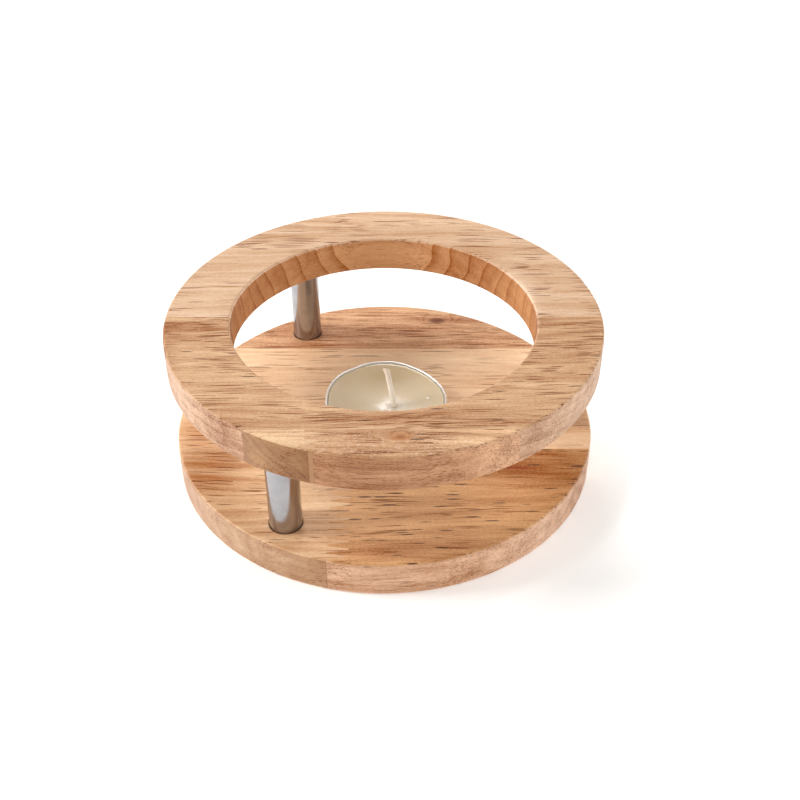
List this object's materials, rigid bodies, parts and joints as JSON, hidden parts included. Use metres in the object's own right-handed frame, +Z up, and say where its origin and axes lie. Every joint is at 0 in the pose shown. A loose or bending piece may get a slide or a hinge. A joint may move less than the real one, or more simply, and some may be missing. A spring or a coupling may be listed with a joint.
{
  "type": "teapot warmer",
  "caption": "Round wooden teapot warmer: a ring-shaped pot rest on steel posts above a disc base, with a tealight standing in a recess below the opening.",
  "frame": {"origin": "middle of the base's underside", "axes": "+Z up, -Y to the front, +X to the right along the grain of the wood"},
  "size_m": [0.13, 0.13, 0.0502],
  "materials": {
    "rubberwood_light": "planed and oiled, satin",
    "rubberwood_mid": "planed and oiled, satin",
    "rubberwood_dark": "planed and oiled, satin",
    "polished_steel": "polished tube",
    "aluminium_foil": "drawn thin sheet with a rolled rim",
    "paraffin_wax": "set wax, glossy round the wick",
    "tinplate": "pressed tinplate",
    "cotton": "waxed braid"
  },
  "bodies": {
    "stand": {"base_stave_back": "rubberwood_dark", "base_stave_middle": "rubberwood_light", "base_stave_front_left": "rubberwood_light", "base_stave_front_right": "rubberwood_mid", "ring_strip_back": "rubberwood_mid", "ring_half_back": "rubberwood_light", "ring_half_front": "rubberwood_mid", "ring_strip_front_left": "rubberwood_dark", "ring_strip_front_right": "rubberwood_mid", "post_front_left": "polished_steel", "post_back_left": "polished_steel", "post_right": "polished_steel"},
    "tealight": {"tealight_cup": "aluminium_foil", "tealight_wax": "paraffin_wax", "wick_holder": "tinplate", "wick": "cotton"}
  },
  "joints": [
    {"name": "tealight_lift", "type": "slide", "parent": "stand", "child": "tealight", "axis": [0, 0, 1], "range_m": [0, 0.06]}
  ]
}
